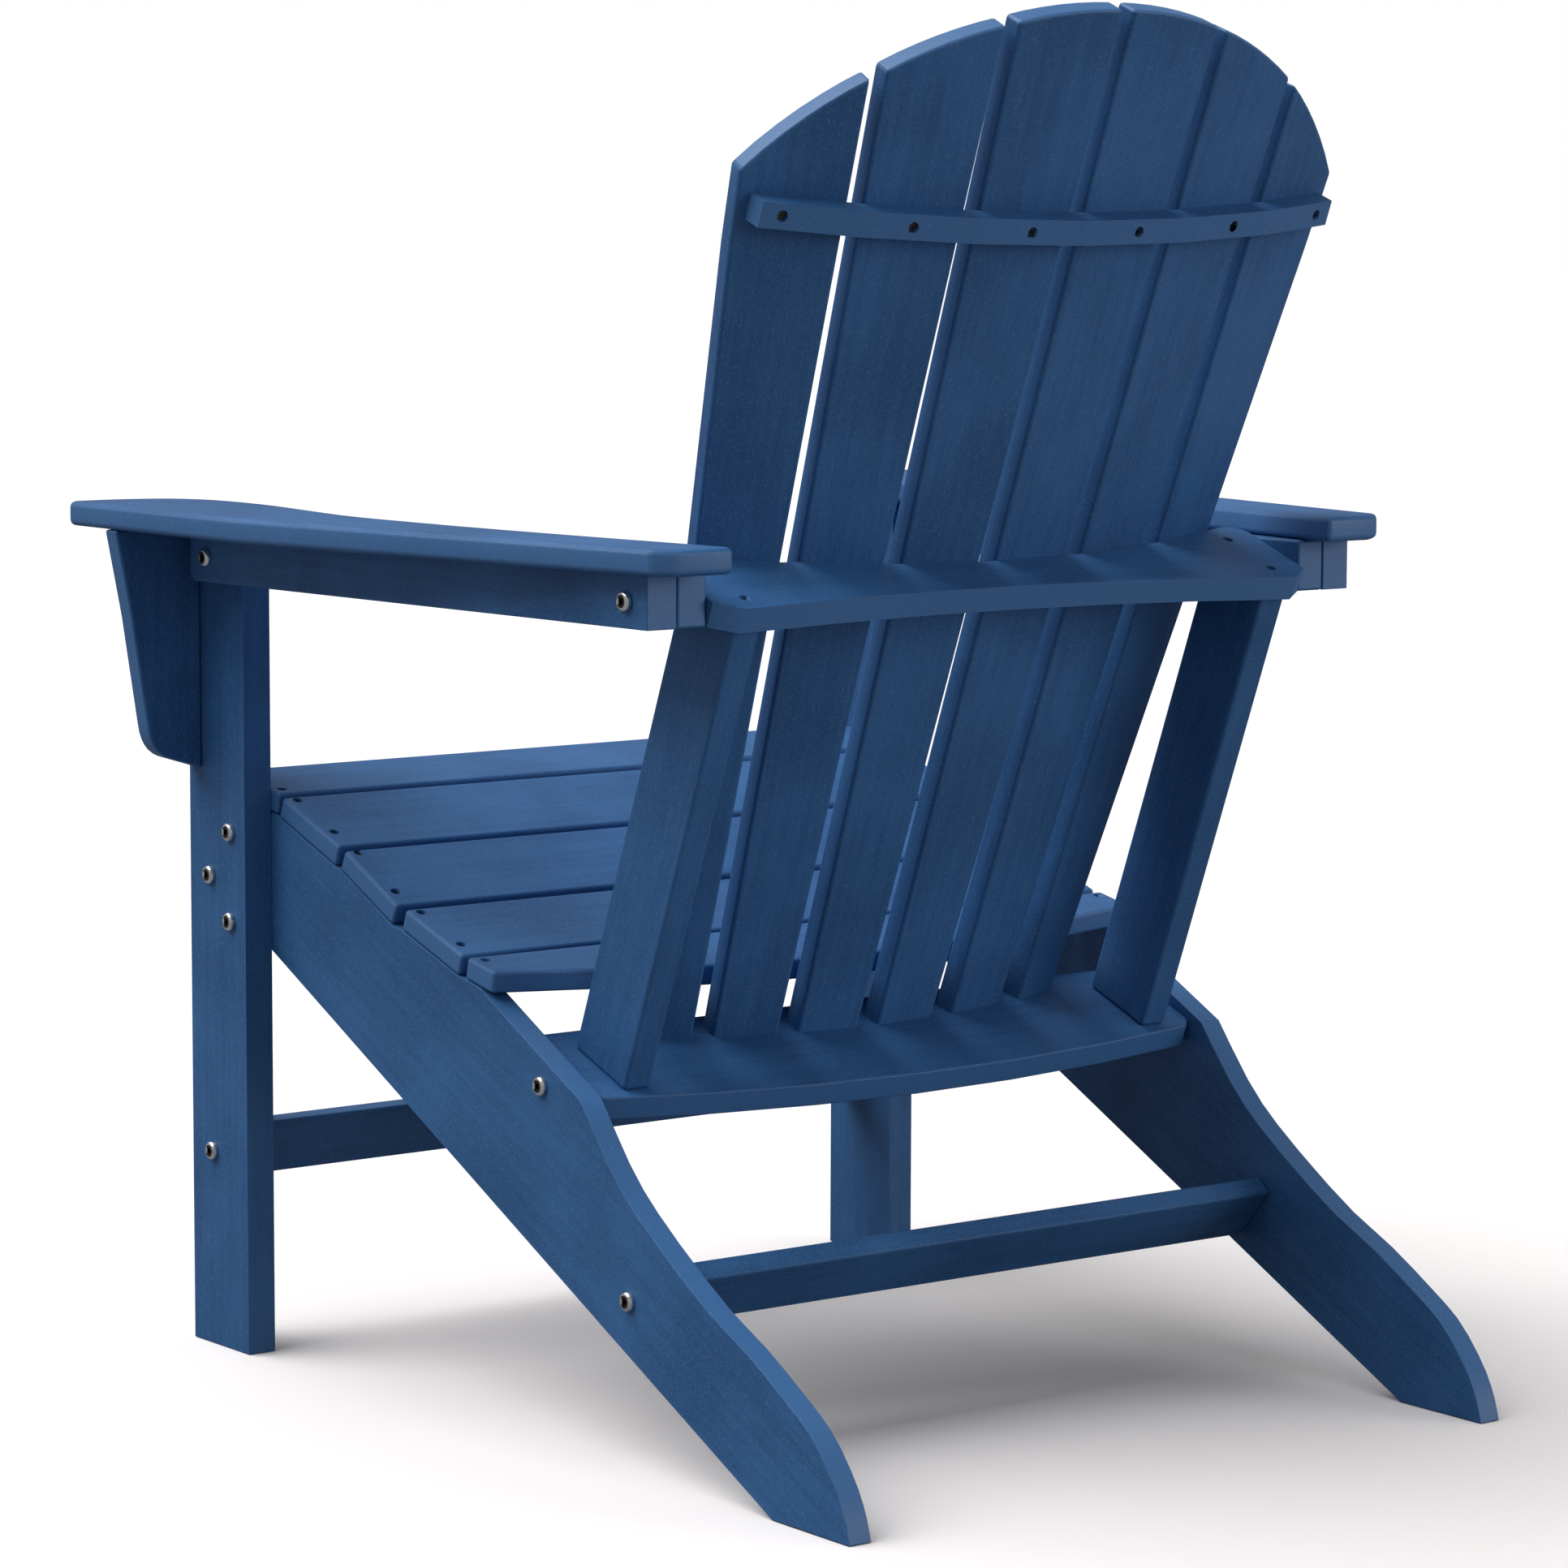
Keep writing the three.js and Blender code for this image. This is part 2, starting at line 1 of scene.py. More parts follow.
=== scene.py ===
"""Garden lounge chair of navy plastic lumber: boards, fasteners, finish and studio stage.

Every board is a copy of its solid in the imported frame, with its bores closed, its edges rounded
and a brushed, speckled finish that runs along its own length.
"""

import math

import bpy
from mathutils import Euler, Matrix, Vector


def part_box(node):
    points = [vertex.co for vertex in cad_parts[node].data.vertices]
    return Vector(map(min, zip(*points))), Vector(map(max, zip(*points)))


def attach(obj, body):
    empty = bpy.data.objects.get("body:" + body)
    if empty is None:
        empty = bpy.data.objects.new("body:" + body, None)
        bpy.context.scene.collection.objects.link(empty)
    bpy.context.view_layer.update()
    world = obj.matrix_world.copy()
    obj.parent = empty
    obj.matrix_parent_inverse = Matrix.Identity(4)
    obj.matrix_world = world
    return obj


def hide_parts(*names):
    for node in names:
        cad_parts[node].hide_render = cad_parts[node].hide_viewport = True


bl_info = {
    "name": "Slatted Garden Chair",
    "version": (1, 0, 0),
    "blender": (4, 5, 0),
    "location": "View3D > Sidebar > Garden Chair",
    "description": "Boards, fasteners, finish and stage of a slatted garden chair",
    "category": "Add Mesh",
}

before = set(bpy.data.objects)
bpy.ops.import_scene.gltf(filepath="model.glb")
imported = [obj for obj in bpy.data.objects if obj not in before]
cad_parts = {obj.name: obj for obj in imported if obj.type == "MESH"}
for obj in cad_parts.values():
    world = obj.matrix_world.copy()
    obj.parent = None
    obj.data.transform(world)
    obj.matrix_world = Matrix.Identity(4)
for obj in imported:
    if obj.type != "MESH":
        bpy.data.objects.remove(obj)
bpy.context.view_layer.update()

MM = 0.001
BODY = "root"
RECLINE = math.radians(21)
STRINGER_SLOPE = math.atan(0.489)
FAN = math.radians(1.77)  # lean of a slat against its neighbour

# Direction of the grain of each group of boards, as the turn that lays its length on X.
ALONG_X = (0, 0, 0)
ALONG_Y = (0, 0, -math.pi / 2)
ALONG_Z = (0, math.pi / 2, 0)


def named(*names):
    """The nodes of the frame whose names start with one of the names, in order."""
    return [node for node in sorted(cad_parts) if node.startswith(names)]


# Sizes and colours ------------------------------------------------------------------------


class LumberSettings(bpy.types.PropertyGroup):
    """Colours and edges of the boards."""

    colour: bpy.props.FloatVectorProperty(
        name="Board colour", description="Main colour of the lumber",
        subtype="COLOR", size=3, min=0, max=1, default=(0.038, 0.142, 0.352))
    deep: bpy.props.FloatVectorProperty(
        name="Deep colour", description="Darker tone of the grain",
        subtype="COLOR", size=3, min=0, max=1, default=(0.022, 0.090, 0.238))
    fleck: bpy.props.FloatVectorProperty(
        name="Fleck colour", description="Pale flecks left by brushing",
        subtype="COLOR", size=3, min=0, max=1, default=(0.120, 0.250, 0.460))
    cut: bpy.props.FloatVectorProperty(
        name="Cut colour", description="Sawn and routed edges",
        subtype="COLOR", size=3, min=0, max=1, default=(0.048, 0.155, 0.365))
    edge: bpy.props.FloatProperty(
        name="Edge radius", description="Rounding of the long edges",
        subtype="DISTANCE", unit="LENGTH", min=0.0005, max=0.006, default=0.0028)
    arm_edge: bpy.props.FloatProperty(
        name="Arm edge radius", description="Rounding of the armrests",
        subtype="DISTANCE", unit="LENGTH", min=0.0005, max=0.008, default=0.0045)


class FastenerSettings(bpy.types.PropertyGroup):
    """Sizes of the bolt heads and screws."""

    head_radius: bpy.props.FloatProperty(
        name="Bolt head radius", description="Radius of a button head",
        subtype="DISTANCE", unit="LENGTH", min=0.004, max=0.01, default=0.0068)
    head_height: bpy.props.FloatProperty(
        name="Bolt head height", description="Height of a button head",
        subtype="DISTANCE", unit="LENGTH", min=0.001, max=0.006, default=0.0038)
    socket_radius: bpy.props.FloatProperty(
        name="Socket radius", description="Corner radius of the hexagon socket",
        subtype="DISTANCE", unit="LENGTH", min=0.001, max=0.004, default=0.0026)
    screw_radius: bpy.props.FloatProperty(
        name="Screw head radius", description="Radius of a screw head",
        subtype="DISTANCE", unit="LENGTH", min=0.001, max=0.005, default=0.0034)
    screw_depth: bpy.props.FloatProperty(
        name="Screw depth", description="Depth of the hole over a screw",
        subtype="DISTANCE", unit="LENGTH", min=0.001, max=0.008, default=0.0044)
    screw_inset: bpy.props.FloatProperty(
        name="Seat screw inset", description="Distance of the seat screws from the ends of the boards",
        subtype="DISTANCE", unit="LENGTH", min=0.004, max=0.02, default=0.0095)


class StageSettings(bpy.types.PropertyGroup):
    """Floor, lights and camera."""

    azimuth: bpy.props.FloatProperty(
        name="Camera azimuth", description="Turn of the camera about the chair",
        subtype="ANGLE", unit="ROTATION", default=math.radians(142.905))
    elevation: bpy.props.FloatProperty(
        name="Camera elevation", description="Height angle of the camera",
        subtype="ANGLE", unit="ROTATION", default=math.radians(6.674))
    distance: bpy.props.FloatProperty(
        name="Camera distance", description="Distance of the camera from its target",
        subtype="DISTANCE", unit="LENGTH", default=3.7977)
    lens: bpy.props.FloatProperty(
        name="Lens", description="Focal length in millimetres", min=20, max=300, default=120.91)
    key: bpy.props.FloatProperty(
        name="Key light", description="Strength of the broad soft light overhead", min=0, default=3.0)
    fill: bpy.props.FloatProperty(
        name="Fill light", description="Strength of the low light behind the chair", min=0, default=1.3)
    dome: bpy.props.FloatProperty(
        name="Dome", description="Brightness of the surroundings as they light the chair",
        min=0, default=0.30)


# Materials --------------------------------------------------------------------------------


class Value:
    """A shader socket that takes part in sums."""

    def __init__(self, shader, socket):
        self.shader = shader
        self.socket = socket

    def _math(self, operation, a, b):
        return self.shader.value("ShaderNodeMath", {"operation": operation}, {0: a, 1: b})

    def __add__(self, other):
        return self._math("ADD", self, other)

    def __radd__(self, other):
        return self._math("ADD", other, self)

    def __mul__(self, other):
        return self._math("MULTIPLY", self, other)

    def __rmul__(self, other):
        return self._math("MULTIPLY", other, self)


class Shader:
    """A new material and the nodes that are added to it."""

    def __init__(self, name):
        self.material = bpy.data.materials.new(name)
        self.material.use_nodes = True
        self.tree = self.material.node_tree
        self.surface = self.tree.nodes["Principled BSDF"]

    def node(self, kind, settings=None, inputs=None):
        """Add a node, make its settings, then link or set its sockets."""
        node = self.tree.nodes.new(kind)
        for key, value in (settings or {}).items():
            setattr(node, key, value)
        for key, value in (inputs or {}).items():
            self.join(value, node.inputs[key])
        return node

    def join(self, value, socket):
        """Link a value into a socket, or set the socket to a number or a colour."""
        if isinstance(value, Value):
            self.tree.links.new(value.socket, socket)
        elif isinstance(value, bpy.types.NodeSocket):
            self.tree.links.new(value, socket)
        elif socket.type == "RGBA" and len(value) == 3:
            socket.default_value = (*value, 1)
        else:
            socket.default_value = value

    def value(self, *args):
        """The first output of a new node, as a value."""
        return Value(self, self.node(*args).outputs[0])

    def band(self, value, low, high):
        """Nought below low, one above high and smooth in between."""
        limits = {"From Min": low, "From Max": high}
        settings = {"interpolation_type": "SMOOTHSTEP"}
        return self.value("ShaderNodeMapRange", settings, {"Value": value, **limits})

    def mix(self, factor, a, b):
        """Colour a where the factor is nought and colour b where it is one."""
        node = self.node("ShaderNodeMix", {"data_type": "RGBA"}, {0: factor, 6: a, 7: b})
        return node.outputs[2]

    def noise(self, vector, scale, detail, roughness=0.5):
        """Even noise over a vector, as a value from nought to one."""
        return self.value("ShaderNodeTexNoise", {"noise_dimensions": "3D"}, {
            "Vector": vector, "Scale": scale, "Detail": detail, "Roughness": roughness})

    def stretched(self, vector, scales):
        """A vector with each of its parts multiplied."""
        settings = {"operation": "MULTIPLY"}
        return self.node("ShaderNodeVectorMath", settings, {0: vector, 1: scales}).outputs[0]

    def raised(self, height, strength, distance):
        """Give the surface a fine relief."""
        inputs = {"Strength": strength, "Distance": distance, "Height": height}
        self.join(self.node("ShaderNodeBump", None, inputs).outputs[0], self.surface.inputs["Normal"])


def lumber(settings, name, turn, place, cut=False):
    """Brushed plastic lumber with its grain along X after the turn; cut is its sawn edge."""
    shader = Shader(name)
    coordinates = shader.node("ShaderNodeTexCoord").outputs["Object"]
    board = shader.node("ShaderNodeMapping", {"vector_type": "POINT"}, {
        "Vector": coordinates, "Rotation": turn, "Location": place}).outputs[0]
    clouds = shader.noise(board, 9, 3)
    streaks = shader.noise(shader.stretched(board, (7, 160, 160)), 1, 4, 0.6)
    brush = shader.noise(shader.stretched(board, (26, 900, 900)), 1, 3, 0.65)
    flecks = shader.noise(shader.stretched(board, (480, 1000, 1000)), 1, 2)
    pores = shader.noise(board, 700, 3, 0.7)
    if cut:
        tone = shader.band(0.6 * pores + 0.4 * clouds, 0.38, 0.66)
        base = shader.mix(tone, settings.colour, settings.cut)
        height = 0.7 * pores + 0.3 * brush
        strength, rough = 0.35, 0.40
        spots = shader.band(flecks, 0.58, 0.74) * 0.5
    else:
        tone = shader.band(0.5 * clouds + 0.3 * streaks + 0.2 * brush, 0.34, 0.66)
        base = shader.mix(tone, settings.deep, settings.colour)
        height = 0.55 * brush + 0.25 * streaks + 0.2 * pores
        strength, rough = 0.3, 0.46
        spots = shader.band(flecks, 0.50, 0.74) * 0.36
    shader.join(shader.mix(spots, base, settings.fleck), shader.surface.inputs["Base Color"])
    shader.join(rough + 0.16 * brush, shader.surface.inputs["Roughness"])
    shader.raised(height, strength, 0.0004)
    shader.surface.inputs["Specular IOR Level"].default_value = 0.5 if cut else 0.28
    return shader.material


def stainless(name, colour, rough):
    """Turned stainless steel with faint rings of polish and specks of tarnish."""
    shader = Shader(name)
    coordinates = shader.node("ShaderNodeTexCoord").outputs["Object"]
    polish = shader.noise(coordinates, 1800, 2)
    tarnish = shader.noise(coordinates, 260, 3)
    dark = tuple(0.55 * part for part in colour)
    base = shader.mix(shader.band(tarnish, 0.45, 0.75), colour, dark)
    shader.join(base, shader.surface.inputs["Base Color"])
    shader.surface.inputs["Metallic"].default_value = 1
    shader.join(rough + 0.18 * polish, shader.surface.inputs["Roughness"])
    shader.raised(polish, 0.1, 0.0001)
    return shader.material


# Working on meshes ------------------------------------------------------------------------


def only(*pieces):
    """Select these objects and nothing else."""
    if bpy.context.object and bpy.context.object.mode != "OBJECT":
        bpy.ops.object.mode_set(mode="OBJECT")
    bpy.ops.object.select_all(action="DESELECT")
    for piece in pieces:
        piece.select_set(True)
    bpy.context.view_layer.objects.active = pieces[0]


def editing(piece, select="SELECT"):
    """Go into edit mode on one object, with all or none of it selected."""
    only(piece)
    bpy.ops.object.mode_set(mode="EDIT")
    bpy.ops.mesh.select_mode(type="FACE")
    bpy.ops.mesh.select_all(action=select)


def finish_editing():
    """Go back to object mode."""
    bpy.ops.object.mode_set(mode="OBJECT")


def applied(piece, kind, **settings):
    """Add a modifier, set it and apply it."""
    only(piece)
    modifier = piece.modifiers.new(kind.title(), kind)
    for key, value in settings.items():
        setattr(modifier, key, value)
    bpy.ops.object.modifier_apply(modifier=modifier.name)


def smoothed(piece, angle=40):
    """Shade smooth up to an angle, with flat faces kept flat."""
    only(piece)
    bpy.ops.object.shade_smooth_by_angle(angle=math.radians(angle))
    applied(piece, "WEIGHTED_NORMAL", keep_sharp=True)


def settled(piece, slot, *nodes):
    """Attach the finished piece to the body it moves with and hide the parts of the frame it replaces;
    the slot is not used.
    """
    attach(piece, BODY)
    if nodes:
        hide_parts(*nodes)
    return piece


class Fastener:
    """The place of a bolt or screw of the frame: its seat, its outward axis and its length."""

    def __init__(self, node):
        points = [vertex.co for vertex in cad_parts[node].data.vertices]
        middle = sum(points, Vector()) / len(points)
        rim = max(points, key=lambda point: (point - middle).length)
        top = self.far_end(points, rim)
        self.tip = self.far_end(points, top)
        self.axis = (top - self.tip).normalized()
        self.reach = max((point - self.tip).dot(self.axis) for point in points)

    def far_end(self, points, start):
        """The middle of the end of the fastener that is away from a start."""
        longest = max((point - start).length for point in points)
        end = [point for point in points if (point - start).length > longest - 0.0006]
        return sum(end, Vector()) / len(end)

    def end(self, beyond):
        """The point of the axis at a distance beyond the top of the head."""
        return self.tip + self.axis * (self.reach + beyond)

    def far_from_axis(self, point):
        """Distance of a point from the line of the fastener."""
        arm = point - self.tip
        return (arm - arm.dot(self.axis) * self.axis).length


def mark_bores(piece, fasteners, radius):
    """Select the walls of the bores of some fasteners."""
    mesh = piece.data
    for fastener in fasteners:
        inside = [fastener.far_from_axis(vertex.co) < radius for vertex in mesh.vertices]
        for polygon in mesh.polygons:
            if all(inside[vertex] for vertex in polygon.vertices):
                polygon.select = True


def board_copy(node, fasteners):
    """A copy of a board of the frame, welded, without its bores and with plain flat faces."""
    piece = bpy.data.objects.new(node + "_board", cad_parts[node].data.copy())
    bpy.context.scene.collection.objects.link(piece)
    editing(piece)
    bpy.ops.mesh.remove_doubles(threshold=0.00002)
    bpy.ops.mesh.select_all(action="DESELECT")
    finish_editing()
    for near, radius in fasteners:
        mark_bores(piece, near, radius)
    only(piece)
    bpy.ops.object.mode_set(mode="EDIT")
    bpy.ops.mesh.select_mode(type="FACE")
    bpy.ops.mesh.delete(type="FACE")
    bpy.ops.mesh.select_all(action="SELECT")
    bpy.ops.mesh.fill_holes(sides=0)
    bpy.ops.mesh.select_all(action="SELECT")
    bpy.ops.mesh.dissolve_limited(angle_limit=math.radians(0.6))
    finish_editing()
    return piece


def fasteners_near(board_node):
    """The bolts and screws beside or inside the box of a board, with the radius of their bores."""
    low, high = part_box(board_node)
    margin = 2 * MM
    groups = []
    for name, radius in (("bolt_", 3.36 * MM), ("screw_", 3.78 * MM)):
        near = []
        for node in named(name):
            other_low, other_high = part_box(node)
            above = all(other_high[i] > low[i] - margin for i in range(3))
            if above and all(other_low[i] < high[i] + margin for i in range(3)):
                near.append(Fastener(node))
        groups.append((near, radius))
    return groups


def countersunk(piece, places, radius, depth):
    """Cut a round recess at each place, given as a point on the face and its outward direction."""
    cutters = []
    for point, outward in places:
        bpy.ops.mesh.primitive_cylinder_add(
            vertices=24, radius=radius, depth=2 * depth, location=point,
            rotation=outward.to_track_quat("Z", "Y").to_euler())
        cutters.append(bpy.context.object)
    if not cutters:
        return
    only(*cutters)
    if len(cutters) > 1:
        bpy.ops.object.join()
    cutter = bpy.context.object
    applied(piece, "BOOLEAN", operation="DIFFERENCE", solver="EXACT", object=cutter)
    bpy.data.objects.remove(cutter)


def long_axis(turn):
    """The direction of the grain for a turn that lays it on X."""
    return Euler(turn).to_matrix().inverted() @ Vector((1, 0, 0))


def board(node, turn, edge, cut_faces, places=()):
    """One finished board: a copy of its solid with round edges, recesses and both finishes."""
    settings = bpy.context.scene.chair_lumber
    piece = board_copy(node, fasteners_near(node))
    applied(piece, "BEVEL", width=edge, segments=3, limit_method="ANGLE",
            angle_limit=math.radians(40), use_clamp_overlap=True)
    fasteners = bpy.context.scene.chair_fasteners
    countersunk(piece, places, fasteners.screw_radius + 0.4 * MM, fasteners.screw_depth)
    number = sorted(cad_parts).index(node)
    place = (0.37 * number, 0.11 * number, 0.05 * number)
    piece.data.materials.clear()
    piece.data.materials.append(lumber(settings, node + "_face", turn, place))
    piece.data.materials.append(lumber(settings, node + "_cut", turn, place, cut=True))
    for polygon in piece.data.polygons:
        polygon.material_index = 1 if cut_faces(polygon.normal, polygon.center) else 0
    smoothed(piece)
    return settled(piece, "lumber", node)


def ends_of(turn):
    """Marks the faces square to the grain as cut."""
    along = long_axis(turn)
    return lambda normal, centre: abs(normal.dot(along)) > 0.8


def edges_of(across):
    """Marks every face that isn't one of the two broad faces as cut."""
    across = Vector(across).normalized()
    return lambda normal, centre: abs(normal.dot(across)) < 0.6


# Pieces -----------------------------------------------------------------------------------


def seat_screw_places(node, count):
    """Places of the seat screws of a board, one or two at each end, with the way they face."""
    low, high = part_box(node)
    inset = bpy.context.scene.chair_fasteners.screw_inset
    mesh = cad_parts[node].data
    tops = [polygon for polygon in mesh.polygons if polygon.normal.z > 0.85]
    normal = sum((polygon.normal * polygon.area for polygon in tops), Vector()).normalized()
    along = Vector((0, normal.z, -normal.y))
    anchor = tops[0].center
    places = []
    front = low.y + 0.001
    for side in (-1, 1):
        for step in (0.011, 0.064)[:count]:
            start = Vector((side * (high.x - inset), front, 0))
            start.z = anchor.z - ((start.y - anchor.y) * normal.y) / normal.z
            places.append((start + along * step, normal))
    return places


SEAT_SCREWS = {}


class CHAIR_OT_seat(bpy.types.Operator):
    """Add the seat boards with the recesses for the screws at their ends"""

    bl_idname = "chair.seat"
    bl_label = "Seat Boards"

    def execute(self, context):
        settings = context.scene.chair_lumber
        for node in named("seat_board"):
            narrow = node == "seat_board_rear"
            places = seat_screw_places(node, 1 if narrow else 2)
            SEAT_SCREWS[node] = places
            cut = edges_of((0, 0, 1)) if narrow else ends_of(ALONG_X)
            board(node, ALONG_X, settings.edge, cut, places)
        return {"FINISHED"}


class CHAIR_OT_legs(bpy.types.Operator):
    """Add the front legs, the stringers and the stretchers"""

    bl_idname = "chair.legs"
    bl_label = "Legs and Stretchers"

    def execute(self, context):
        edge = context.scene.chair_lumber.edge
        for node in named("front_leg"):
            board(node, ALONG_Z, edge, ends_of(ALONG_Z))
        for node in named("stringer"):
            turn = (STRINGER_SLOPE, 0, 0)
            both = (Euler(ALONG_Y).to_matrix() @ Euler(turn).to_matrix()).to_euler()
            board(node, tuple(both), 0.7 * edge, edges_of((1, 0, 0)))
        for node in named("front_stretcher", "rear_stretcher"):
            board(node, ALONG_X, 0.8 * edge, ends_of(ALONG_X))
        return {"FINISHED"}


class CHAIR_OT_arms(bpy.types.Operator):
    """Add the armrests with the rails, blocks and brackets under them"""

    bl_idname = "chair.arms"
    bl_label = "Arms"

    def execute(self, context):
        settings = context.scene.chair_lumber
        for node in named("armrest"):
            board(node, ALONG_Y, settings.arm_edge, edges_of((0, 0, 1)))
        for node in named("arm_rail", "arm_block"):
            board(node, ALONG_Y, 0.8 * settings.edge, ends_of(ALONG_Y))
        for node in named("arm_bracket"):
            board(node, ALONG_Z, 0.8 * settings.edge, edges_of((0, 1, 0)))
        return {"FINISHED"}


class CHAIR_OT_back(bpy.types.Operator):
    """Add the slats, the cross rails and the uprights of the back"""

    bl_idname = "chair.back"
    bl_label = "Back"

    def execute(self, context):
        edge = context.scene.chair_lumber.edge
        up = Vector((0, math.sin(RECLINE), math.cos(RECLINE)))

        def cut(normal, centre):
            return abs(normal.dot(up)) > 0.6

        slats = named("back_slat")
        for number, node in enumerate(slats):
            board(node, self.grain((number - (len(slats) - 1) / 2) * FAN), edge, cut)
        for node in named("back_upright"):
            board(node, self.grain(0), edge, cut)
        for node in named("back_rail"):
            screws = [Fastener(screw) for screw in named("screw_" + node.split("_")[2])]
            places = [(screw.end(0.9 * MM), screw.axis) for screw in screws]
            board(node, ALONG_X, 0.8 * edge, edges_of(up), places)
        return {"FINISHED"}

    def grain(self, lean):
        """The turn that lays the length of a slat on X, for its lean to one side."""
        upright = Euler(ALONG_Z).to_matrix() @ Euler((0, -lean, 0)).to_matrix()
        return tuple((upright @ Euler((RECLINE, 0, 0)).to_matrix()).to_euler())


def turned_piece(name, radius, height, crown):
    """A round head on the origin, facing up, with its crown rounded over."""
    bpy.ops.object.select_all(action="DESELECT")
    bpy.ops.mesh.primitive_cylinder_add(
        vertices=40, radius=radius, depth=height, location=(0, 0, height / 2))
    piece = bpy.context.object
    piece.name = name
    bpy.ops.object.transform_apply(location=True)
    editing(piece, "DESELECT")
    finish_editing()
    for edge in piece.data.edges:
        ends = [piece.data.vertices[vertex].co.z for vertex in edge.vertices]
        edge.select = min(ends) > 0.9 * height
    only(piece)
    bpy.ops.object.mode_set(mode="EDIT")
    bpy.ops.mesh.select_mode(type="EDGE")
    bpy.ops.mesh.bevel(offset=crown, segments=5, profile=0.5)
    finish_editing()
    return piece


def socketed(piece, sides, radius, depth, height):
    """Cut a driver socket of some sides into the top of a head."""
    bpy.ops.mesh.primitive_cylinder_add(
        vertices=sides, radius=radius, depth=2 * depth, location=(0, 0, height))
    cutter = bpy.context.object
    applied(piece, "BOOLEAN", operation="DIFFERENCE", solver="EXACT", object=cutter)
    bpy.data.objects.remove(cutter)


def with_shank(piece, radius, length):
    """Add a plain shank below a head."""
    bpy.ops.object.select_all(action="DESELECT")
    bpy.ops.mesh.primitive_cylinder_add(
        vertices=16, radius=radius, depth=length, location=(0, 0, -length / 2 + 0.2 * MM))
    shank = bpy.context.object
    only(piece, shank)
    bpy.ops.object.join()
    return piece


def placed_copy(pattern, name, seat, axis):
    """A copy of a pattern with its own mesh, set on a seat and facing along an axis."""
    piece = bpy.data.objects.new(name, pattern.data.copy())
    bpy.context.scene.collection.objects.link(piece)
    turn = axis.to_track_quat("Z", "Y").to_matrix().to_4x4()
    piece.data.transform(Matrix.Translation(seat) @ turn)
    return piece


class CHAIR_OT_bolts(bpy.types.Operator):
    """Add the button head bolts of the sides"""

    bl_idname = "chair.bolts"
    bl_label = "Bolts"

    def execute(self, context):
        sizes = context.scene.chair_fasteners
        steel = stainless("bolt_steel", (0.86, 0.85, 0.83), 0.16)
        # Near black steel for the inside of each hex socket: painted shade in the recess.
        shade = stainless("bolt_socket_painted_shade", (0.05, 0.05, 0.05), 0.4)
        for node in named("bolt_"):
            bolt = Fastener(node)
            length = bolt.reach - sizes.head_height
            crown = 0.62 * sizes.head_height
            head = turned_piece(node + "_head", sizes.head_radius, sizes.head_height, crown)
            socketed(head, 6, sizes.socket_radius, 2.6 * MM, sizes.head_height)
            head = with_shank(head, 3 * MM, length)
            piece = placed_copy(head, node + "_steel", bolt.tip + bolt.axis * length, bolt.axis)
            bpy.data.objects.remove(head)
            piece.data.materials.clear()
            piece.data.materials.append(steel)
            piece.data.materials.append(shade)
            # Faces down inside the socket take the near black steel, the painted shade of the recess.
            for polygon in piece.data.polygons:
                out = (polygon.center - bolt.tip).dot(bolt.axis) > length + 0.3 * MM
                inner = bolt.far_from_axis(polygon.center) < 0.92 * sizes.socket_radius
                polygon.material_index = 1 if out and inner else 0
            smoothed(piece, 35)
            settled(piece, "stainless", node)
        return {"FINISHED"}


class CHAIR_OT_screws(bpy.types.Operator):
    """Add the screws of the back rails and of the seat boards"""

    bl_idname = "chair.screws"
    bl_label = "Screws"

    def execute(self, context):
        sizes = context.scene.chair_fasteners
        # The screws are near black steel: painted shade of the deep holes they sit in.
        steel = stainless("screw_steel", (0.07, 0.07, 0.07), 0.3)
        height = 1.2 * MM
        head = turned_piece("screw_pattern", sizes.screw_radius, height, 0.5 * MM)
        socketed(head, 4, 1.6 * MM, 0.8 * MM, height)
        head = with_shank(head, 2 * MM, 20 * MM)
        places = []
        for node in named("screw_"):
            screw = Fastener(node)
            places.append((node + "_steel", screw.end(-3.4 * MM), screw.axis, [node]))
        for node, spots in SEAT_SCREWS.items():
            for number, (point, normal) in enumerate(spots):
                name = f"seat_screw_{node[11:]}_{number + 1}"
                places.append((name, point - normal * (height + 2.2 * MM), normal, []))
        for name, seat, axis, stands_for in places:
            piece = placed_copy(head, name, seat, axis)
            piece.data.materials.clear()
            piece.data.materials.append(steel)
            smoothed(piece, 35)
            settled(piece, "stainless", *stands_for)
        bpy.data.objects.remove(head)
        return {"FINISHED"}


# Stage ------------------------------------------------------------------------------------


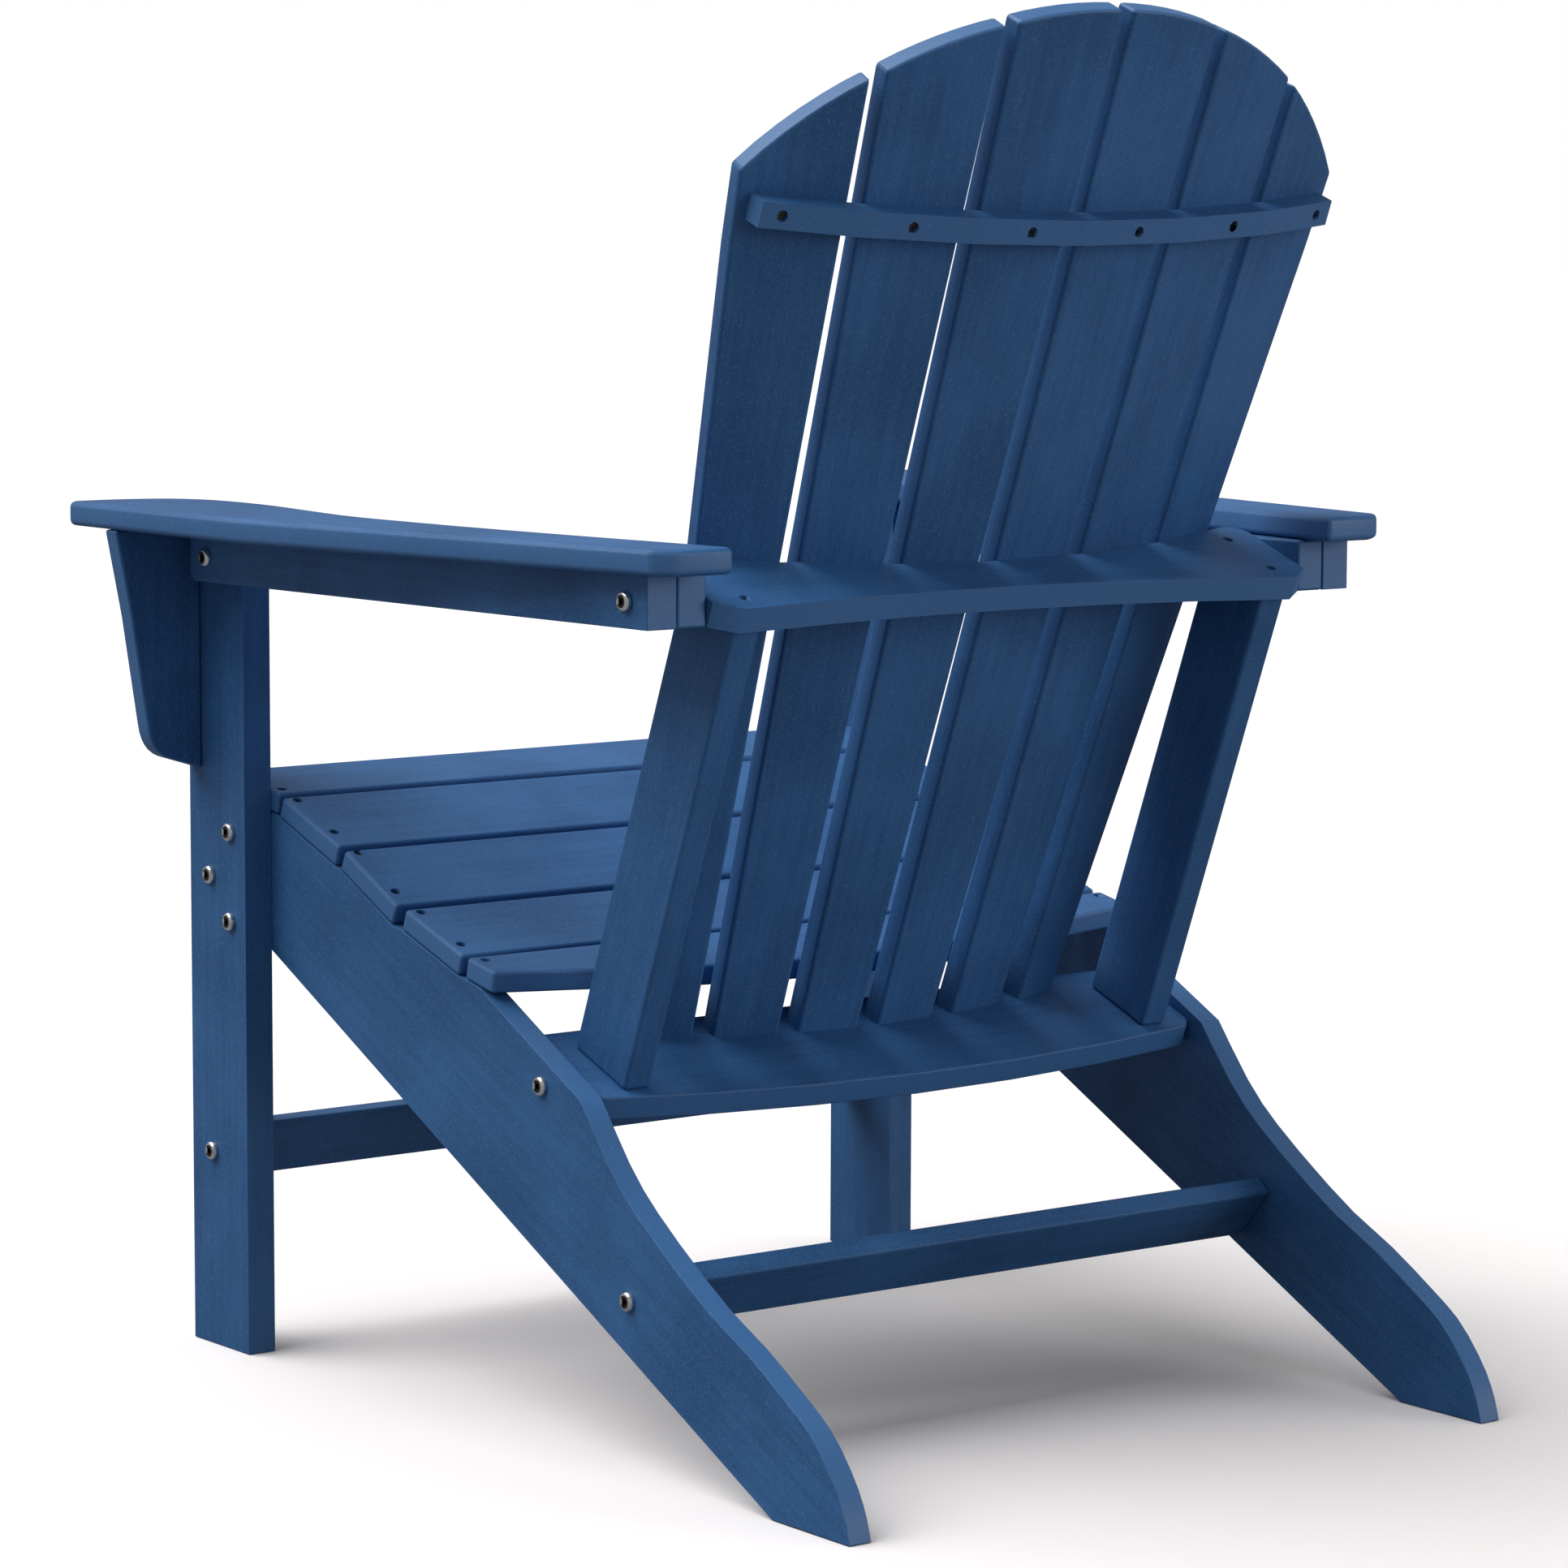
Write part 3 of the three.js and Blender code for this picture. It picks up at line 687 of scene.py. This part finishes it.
class CHAIR_OT_stage(bpy.types.Operator):
    """Add the pale floor, the soft lights and the camera"""

    bl_idname = "chair.stage"
    bl_label = "Stage"

    def execute(self, context):
        settings = context.scene.chair_stage
        self.add_floor()
        self.add_lights(settings)
        self.add_camera(settings)
        return {"FINISHED"}

    def add_floor(self):
        """A wide flat floor, all but white to the camera and dark grey to the light it bounces onto the
        chair.
        """
        bpy.ops.object.select_all(action="DESELECT")
        bpy.ops.mesh.primitive_plane_add(size=60, location=(0, 0, -0.0005))
        floor = bpy.context.object
        floor.name = "floor"
        shader = Shader("floor_paper")
        coordinates = shader.node("ShaderNodeTexCoord").outputs["Object"]
        paper = shader.noise(coordinates, 40, 2)
        # Only camera rays see the near white floor; light bounced from it onto the chair comes off dark
        # grey, which darkens the chair's lower faces.
        direct = shader.node("ShaderNodeLightPath").outputs["Is Camera Ray"]
        bright = shader.mix(paper, (1.0, 0.955, 0.95), (1.0, 0.965, 0.96))
        shader.join(shader.mix(direct, (0.20, 0.20, 0.21), bright), shader.surface.inputs["Base Color"])
        shader.surface.inputs["Roughness"].default_value = 0.9
        shader.surface.inputs["Specular IOR Level"].default_value = 0.1
        floor.data.materials.append(shader.material)

    def add_lights(self, settings):
        """White surroundings, dimmer where they light the chair, and one broad soft light."""
        world = bpy.data.worlds.new("white_room")
        world.use_nodes = True
        tree = world.node_tree
        seen = tree.nodes.new("ShaderNodeLightPath").outputs["Is Camera Ray"]
        shade = tree.nodes.new("ShaderNodeMix")
        shade.data_type = "RGBA"
        tree.links.new(seen, shade.inputs[0])
        shade.inputs[6].default_value = (settings.dome, settings.dome, settings.dome, 1)
        shade.inputs[7].default_value = (1, 1, 1, 1)
        tree.links.new(shade.outputs[2], tree.nodes["Background"].inputs["Color"])
        bpy.context.scene.world = world
        self.add_light("key_light", (0.38, -0.34, 0.86), settings.key, 60)
        self.add_light("fill_light", (-0.62, 0.78, 0.03), settings.fill, 45)

    def add_light(self, name, towards, strength, spread):
        """A broad even light from one direction."""
        towards = Vector(towards)
        bpy.ops.object.light_add(type="SUN", location=3 * towards)
        light = bpy.context.object
        light.name = name
        light.data.energy = strength
        light.data.angle = math.radians(spread)
        light.rotation_euler = towards.to_track_quat("Z", "Y").to_euler()

    def add_camera(self, settings):
        """A long lens behind and beside the chair."""
        data = bpy.data.cameras.new("camera")
        camera = bpy.data.objects.new("camera", data)
        bpy.context.scene.collection.objects.link(camera)
        flat = math.cos(settings.elevation)
        away = Vector((
            math.sin(settings.azimuth) * flat,
            -math.cos(settings.azimuth) * flat,
            math.sin(settings.elevation),
        ))
        target = Vector((0.0138, -0.0255, 0.4271))
        roll = math.radians(0.2023)
        aim = (-away).to_track_quat("-Z", "Y").to_matrix().to_4x4()
        place = Matrix.Translation(target + away * settings.distance)
        camera.matrix_world = place @ aim @ Matrix.Rotation(roll, 4, "Z")
        data.lens = settings.lens
        data.sensor_width = 36
        data.clip_end = 200
        bpy.context.scene.camera = camera
        bpy.context.scene.view_settings.view_transform = "Standard"


class CHAIR_PT_panel(bpy.types.Panel):
    """Buttons for the pieces of the chair"""

    bl_idname = "CHAIR_PT_panel"
    bl_label = "Garden Chair"
    bl_space_type = "VIEW_3D"
    bl_region_type = "UI"
    bl_category = "Garden Chair"

    def draw(self, context):
        scene = context.scene
        for settings in (scene.chair_lumber, scene.chair_fasteners, scene.chair_stage):
            for name in settings.__annotations__:
                self.layout.prop(settings, name)
        for operator in OPERATORS:
            self.layout.operator(operator.bl_idname)


OPERATORS = (
    CHAIR_OT_legs, CHAIR_OT_seat, CHAIR_OT_arms, CHAIR_OT_back,
    CHAIR_OT_bolts, CHAIR_OT_screws, CHAIR_OT_stage,
)
CLASSES = (LumberSettings, FastenerSettings, StageSettings, *OPERATORS, CHAIR_PT_panel)


def register():
    for cls in CLASSES:
        bpy.utils.register_class(cls)
    bpy.types.Scene.chair_lumber = bpy.props.PointerProperty(type=LumberSettings)
    bpy.types.Scene.chair_fasteners = bpy.props.PointerProperty(type=FastenerSettings)
    bpy.types.Scene.chair_stage = bpy.props.PointerProperty(type=StageSettings)


def unregister():
    del bpy.types.Scene.chair_stage
    del bpy.types.Scene.chair_fasteners
    del bpy.types.Scene.chair_lumber
    for cls in reversed(CLASSES):
        bpy.utils.unregister_class(cls)


def main():
    register()
    bpy.ops.chair.legs()
    bpy.ops.chair.seat()
    bpy.ops.chair.arms()
    bpy.ops.chair.back()
    bpy.ops.chair.bolts()
    bpy.ops.chair.screws()
    bpy.ops.chair.stage()


if __name__ == "__main__":
    main()
